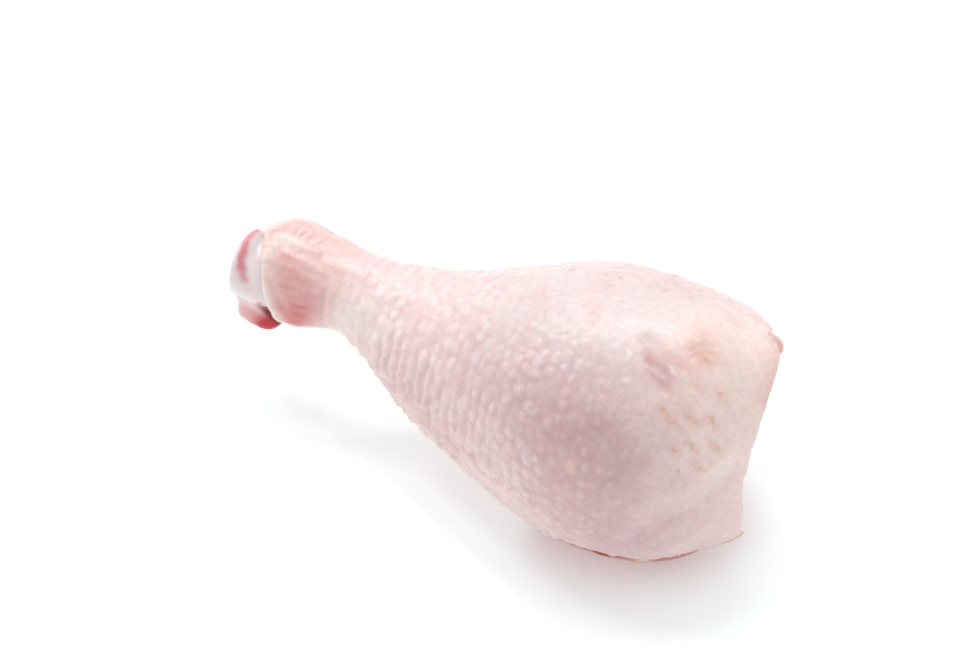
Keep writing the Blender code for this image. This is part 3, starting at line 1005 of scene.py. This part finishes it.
# The tab of muscle: a pixel that it covers, half its width, height and depth, and how far it is
# set to the left of and behind the skin's surface there, in mm; then the spot that is tinted
TAB_SEEN = (774, 347)
TAB_SHAPE = (3.3, 2.8, 1.6)
TAB_LEFT, TAB_BEHIND = 1.0, 2.9
TAB_TINT = (((780, 347), 3.4, 1.8),)

# The bits of fat on the lip of meat: pixel, radius in mm, weight
FAT_ON_LIP = (((644, 561), 1.3, 1.2), ((637, 560), 1.0, 0.6))

# The meat's cut face: seams between the muscle bundles, in degrees round the bone, and their half
# width and depth, how far the hole's wall is brought in to the bone, and the face back, in mm
BUNDLE_SEAMS = (-150, -98, -40, 28, 78, 128, 168)
SEAM_WIDTH = 1.5
SEAM_DEPTH = 0.9
HOLE_CLOSING = 1.3
FACE_BACK = 0.8

# How far the lip of meat is pushed out from the solid's surface: station and mm
LIP_HEIGHT = ((86, 1.7), (98, 1.15))

# Where the skin ends along the lower front: station, and degrees round the leg from the top
SKIN_ENDS = (
    (61, 165),
    (63.5, 138),
    (66, 126.5),
    (70, 124.5),
    (75, 123),
    (78.5, 122.5),
    (81, 125.5),
    (84, 124),
    (88, 124.5),
    (91, 127.5),
    (94, 132.5),
    (96, 135),
    (98.5, 141),
    (101, 160),
    (106, 165),
)

# The slab that trims it: where it stops round the leg, its first and last station, how uneven
# its edge is in degrees, its inner face and thickness as shares of the radius, and mm more
TRIM_STOPS = ((60, 170), (64, 168), (70, 174), (76, 182), (106, 182))
TRIM_FROM, TRIM_TO = 62, 106
TRIM_UNEVEN = 0.8
TRIM_INNER = 0.72
TRIM_THICK = 0.5
TRIM_EXTRA = 6


def trimming_block():
    """A curved slab under the leg that takes the skin off the cut meat along the lower front."""
    bpy.ops.object.select_all(action="DESELECT")
    bpy.ops.mesh.primitive_cube_add(size=1, location=(0.5, 0.5, 0.5))
    block = bpy.context.object
    bpy.ops.object.transform_apply(location=True, rotation=False, scale=False)
    bpy.ops.object.mode_set(mode="EDIT")
    bpy.ops.mesh.select_all(action="SELECT")
    bpy.ops.mesh.subdivide(number_cuts=15)
    bpy.ops.object.mode_set(mode="OBJECT")
    for vertex in block.data.vertices:
        along, sideways, deep = vertex.co
        station = TRIM_FROM + (TRIM_TO - TRIM_FROM) * along
        first = at_station(SKIN_ENDS, station) + TRIM_UNEVEN * math.sin(station * 1.7)
        last = at_station(TRIM_STOPS, station)
        angle = math.radians(first + (last - first) * sideways)
        radius, across, above = axis_at(station)
        reach = radius * TRIM_INNER + (radius * TRIM_THICK + TRIM_EXTRA) * deep
        across -= math.sin(angle) * reach
        above += math.cos(angle) * reach
        vertex.co = from_leg(station, across, above) / 1000
    bpy.ops.object.mode_set(mode="EDIT")
    bpy.ops.mesh.select_all(action="SELECT")
    bpy.ops.mesh.normals_make_consistent(inside=False)
    bpy.ops.object.mode_set(mode="OBJECT")
    return block


def make_skin():
    piece = fine_copy("skin", "chicken_skin", SKIN_FACE, SKIN_ROUNDS, trimming_block())
    zones = SkinZones(piece, surface_of(piece))
    lifted = smoothstep(0.4, 3.0, zones.points[:, 2])
    moved = zones.points + zones.normals * (skin_relief(zones) * zones.outer * lifted)[:, None]
    moved += hung(zones.points, zones.surface, LOOSE_SKIN)
    move_points(piece, moved, "skin")
    skin_tones(piece, zones)
    hock_tones(piece, zones)
    follicle_tones(piece, zones)
    thin_out(piece, zones.facing < 0.1, HIDDEN_SHARE)
    piece.data.materials.append(raw_skin())
    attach(piece, "root")
    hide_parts("skin")
    return surface_of(piece)


def meat_tab(skin_surface):
    """The small tab of muscle that stands out past the skin at the top of the cut."""
    right, up, toward = camera_axes()
    beside = seen_point(skin_surface, TAB_SEEN)
    middle = Vector(beside / 1000) - right * (TAB_LEFT / 1000) - toward * (TAB_BEHIND / 1000)
    bpy.ops.object.select_all(action="DESELECT")
    bpy.ops.mesh.primitive_uv_sphere_add(segments=20, ring_count=12, radius=0.001)
    tab = bpy.context.object
    turned = Matrix((right, up, toward)).transposed().to_4x4()
    shape = Matrix.Diagonal((*TAB_SHAPE, 1))
    tab.data.transform(Matrix.Translation(middle) @ turned @ shape)
    return tab


def bundle_seams(leg):
    """A mask of the seams that run out from the bone between the muscle bundles."""
    _, _, away, turn = round_bone(leg)
    turn = np.degrees(turn) + 14 * lumps(leg, (9, 7, 7), 25)
    seam = np.zeros(len(leg))
    for at in BUNDLE_SEAMS:
        beside = np.radians((turn - at + 180) % 360 - 180) * away
        seam = np.maximum(seam, bell(beside, 0, SEAM_WIDTH))
    return seam


def hole_wall(leg, normals):
    """A mask of the meat's wall round the bone, inside the cut."""
    across, above, away, _ = round_bone(leg)
    inward = -(normals[:, 1] * across + normals[:, 2] * above) / np.maximum(away, 1)
    wall = smoothstep(0.3, 0.7, inward) * smoothstep(82, 88, leg[:, 0])
    return wall * (1 - smoothstep(0.1, 0.5, normals[:, 0]))


def meat_lip(station, angle):
    """A mask of the meat that stands out past the skin's trimmed edge."""
    edge = at_station(SKIN_ENDS, station)
    lip = smoothstep(edge - 0.5, edge + 3, angle) * (1 - smoothstep(150, 172, angle))
    return lip * (smoothstep(63, 66, station) * (1 - smoothstep(97, 100, station)))


def make_meat(skin_surface):
    tab_shape = meat_tab(skin_surface)
    piece = fine_copy("meat", "leg_meat", MEAT_FACE, MEAT_ROUNDS, added=tab_shape)
    points, normals = points_of(piece)
    leg = along_leg(points)
    station = leg[:, 0]
    angle, outward = round_leg(leg)
    outer = smoothstep(0.3, 0.7, (normals * outward).sum(axis=1))
    face = smoothstep(0.25, 0.6, normals[:, 0]) * smoothstep(70, 78, station)
    tab = seen_patch(points, surface_of(piece), TAB_TINT)
    lip = meat_lip(station, angle) * outer
    seam = bundle_seams(leg) * face

    fibre = 0.16 * lumps(leg, (5, 1.3, 1.3), 21) + 0.25 * lumps(leg, (6, 5, 5), 22) - 0.3
    fibre += face * (0.14 * lumps(leg, (1.2, 1.2, 1.2), 26) + 0.1 - SEAM_DEPTH * seam)
    fibre += 0.6 * outer * smoothstep(88, 93, station)
    fibre *= smoothstep(70, 80, station) * smoothstep(0.3, 2, points[:, 2]) * (1 - lip)
    fibre += lip * (at_station(LIP_HEIGHT, station) + 0.2 * lumps(leg, (4, 4, 4), 24))
    fibre += HOLE_CLOSING * hole_wall(leg, normals)
    moved = points + normals * (fibre * (1 - tab))[:, None]
    moved[:, 0] -= FACE_BACK * smoothstep(93, 97, station) * (1 - tab) * (1 - lip)
    move_points(piece, moved, "skin")

    membrane = 0.35 * smoothstep(0.3, 0.8, lumps(leg, (7, 3.5, 3.5), 23)) * face
    membrane = np.maximum(membrane, 0.75 * seam * (0.7 + 0.5 * lumps(leg, (3, 3, 3), 27)))
    store_mask(piece, "membrane", np.clip(membrane, 0, 1) * (1 - lip))
    store_mask(piece, "fat", seen_patch(moved, surface_of(piece), FAT_ON_LIP))
    store_mask(piece, "tab", tab)
    store_mask(piece, "lip", lip)
    piece.data.materials.append(raw_meat())
    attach(piece, "root")
    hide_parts("meat")


class BoneZones:
    """The parts of the bone that its relief and its tones share, one value a point."""

    def __init__(self, piece, surface):
        self.surface = surface
        self.points, self.normals = points_of(piece)
        self.leg = along_leg(self.points)
        station, across, above = self.leg.T
        self.end_face = smoothstep(0.3, 0.8, -self.normals[:, 0]) * (station < 0)
        waist_above = along_leg(seen_point(surface, KNUCKLE_WAIST)[None, :])[0, 2]
        self.waist = bell(above, waist_above, 0.8) * (1 - smoothstep(2, 7, station))
        saddle_above = waist_above + 6.5
        self.saddle = bell(above, saddle_above, 3.2) * bell(across, 0, 2.2) * self.end_face
        streak = seen_line(self.points, surface, KNUCKLE_STREAK, 1.15)
        uneven = 1 + 0.5 * lumps(self.points, (1.2, 1.2, 2.4), 31)
        self.streak = np.clip(streak * uneven, 0, 1)
        self.nub = seen_patch(self.points, surface, (KNUCKLE_NUB,))
        self.head = smoothstep(*BONE_HEAD_STARTS, station)
        beside, over, self.away, _ = round_bone(self.leg)
        self.notch = bell(0.9 * beside + 0.43 * over, 0.4, 2.4) * self.head


def knuckle_tones(piece, zones):
    """Masks of the blood on the knuckle: a thin tint, the streak, deep places, and the dark gap by the
    cuff, partly blood and partly painted shade.
    """
    points, surface, leg = zones.points, zones.surface, zones.leg
    behind = smoothstep(1.5, 5, points[:, 1]) * smoothstep(0.0, 0.8, lumps(leg, (4, 3, 3), 35))
    cloudy = 0.6 * lumps(leg, (3.1, 2.9, 2.7), 36) + 0.6 * lumps(points, (1.6, 1.4, 1.5), 37)
    veined = smoothstep(-0.7, 0.9, cloudy) * (0.2 + 0.4 * zones.end_face)
    tint = seen_patch(points, surface, KNUCKLE_TINT, mirrored=0.8)
    tint = np.maximum(tint, np.maximum(veined, 0.6 * behind) * (leg[:, 0] < 20))
    tint = np.maximum(tint, 0.55 * zones.waist + 0.5 * zones.saddle)
    deep = np.maximum(seen_patch(points, surface, KNUCKLE_DEEP), 0.7 * zones.nub)
    store_mask(piece, "blood_tint", np.clip(tint, 0, 1))
    store_mask(piece, "blood_streak", smoothstep(0.1, 1.0, zones.streak))
    store_mask(piece, "blood_deep", deep)
    store_mask(piece, "gap_blood_and_painted_shade", seen_patch(points, surface, KNUCKLE_GAP_BLOOD_AND_SHADE))


def head_tones(piece, zones):
    """Masks of the bone's head in the cut: a pink tint at its rim and notch, and spots of blood."""
    leg = zones.leg
    rim = smoothstep(6.5, 9.5, zones.away) * zones.head
    tint = 0.55 * zones.notch + rim * (0.5 + 0.5 * lumps(leg, (4, 4, 4), 33))
    spots = smoothstep(0.1, 0.9, lumps(leg, (3, 2.6, 2.6), 34))
    store_mask(piece, "head_tint", np.clip(tint, 0, 1))
    store_mask(piece, "head_blood", spots * np.maximum(rim, 0.8 * zones.notch))


def bone_places(zones):
    """The bone's points with its lobes, groove, dents and condyles, in mm."""
    points, normals, leg = zones.points, zones.normals, zones.leg
    groove = seen_line(points, zones.surface, KNUCKLE_GROOVE, 0.7)
    dented = 0.3 * zones.streak + np.maximum(0.5 * groove, 0.4 * zones.waist) + 0.6 * zones.saddle
    moved = points + normals * (0.5 * zones.nub - dented)[:, None]
    lobe = seen_patch(points, zones.surface, (LOWER_LOBE,)) * (1 - groove)
    right, up, _ = camera_axes()
    moved += np.array(right * LOBE_RIGHT - up * LOBE_DOWN) * lobe[:, None]
    uneven = 0.35 * zones.head * lumps(leg, (5, 4, 4), 32)
    moved -= normals * (NOTCH_DEPTH * zones.notch + uneven)[:, None]
    moved[:, 0] -= smoothstep(92, 99, leg[:, 0]) * HEAD_BACK
    return moved


def make_bone():
    piece = fine_copy("bone", "leg_bone", BONE_FACE, BONE_ROUNDS)
    zones = BoneZones(piece, surface_of(piece))
    knuckle_tones(piece, zones)
    head_tones(piece, zones)
    move_points(piece, bone_places(zones), "bone")
    piece.data.materials.append(joint_cartilage())
    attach(piece, "root")
    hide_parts("bone")


# A sheet of gloss white acrylic under the leg, lit a little from below
def make_floor():
    bpy.ops.object.select_all(action="DESELECT")
    bpy.ops.mesh.primitive_plane_add(size=FLOOR_SIZE, location=(0, 0, 0))
    floor = bpy.context.object
    floor.name = "floor"
    made, tree = material("gloss_white_acrylic")
    inputs = {
        "Base Color": linear(FLOOR_WHITE),
        "Roughness": 0.2,
        "IOR": 1.45,
        "Emission Color": (1, 1, 1, 1),
        "Emission Strength": FLOOR_GLOW,
    }
    shader = add(tree, "ShaderNodeBsdfPrincipled", {}, inputs)
    add(tree, "ShaderNodeOutputMaterial", {}, {"Surface": shader.outputs[0]})
    floor.data.materials.append(made)


def soft_box(name, place, size, watts):
    light = bpy.data.lights.new(name, "AREA")
    light.shape = "RECTANGLE"
    light.size, light.size_y = size
    light.energy = watts
    holder = bpy.data.objects.new(name, light)
    bpy.context.scene.collection.objects.link(holder)
    turn = (Vector(place) - AIM_POINT).to_track_quat("Z", "Y").to_matrix().to_4x4()
    holder.matrix_world = Matrix.Translation(place) @ turn


def set_up_light():
    for name, place, size, watts in LIGHTS:
        soft_box(name, place, size, watts)
    world = bpy.data.worlds.new("studio")
    world.use_nodes = True
    background = world.node_tree.nodes["Background"]
    background.inputs["Color"].default_value = (1, 1, 1, 1)
    background.inputs["Strength"].default_value = ROOM_LIGHT
    bpy.context.scene.world = world
    bpy.context.scene.view_settings.view_transform = "Standard"


set_up_camera()
make_meat(make_skin())
make_bone()
make_floor()
set_up_light()

bpy.context.view_layer.update()
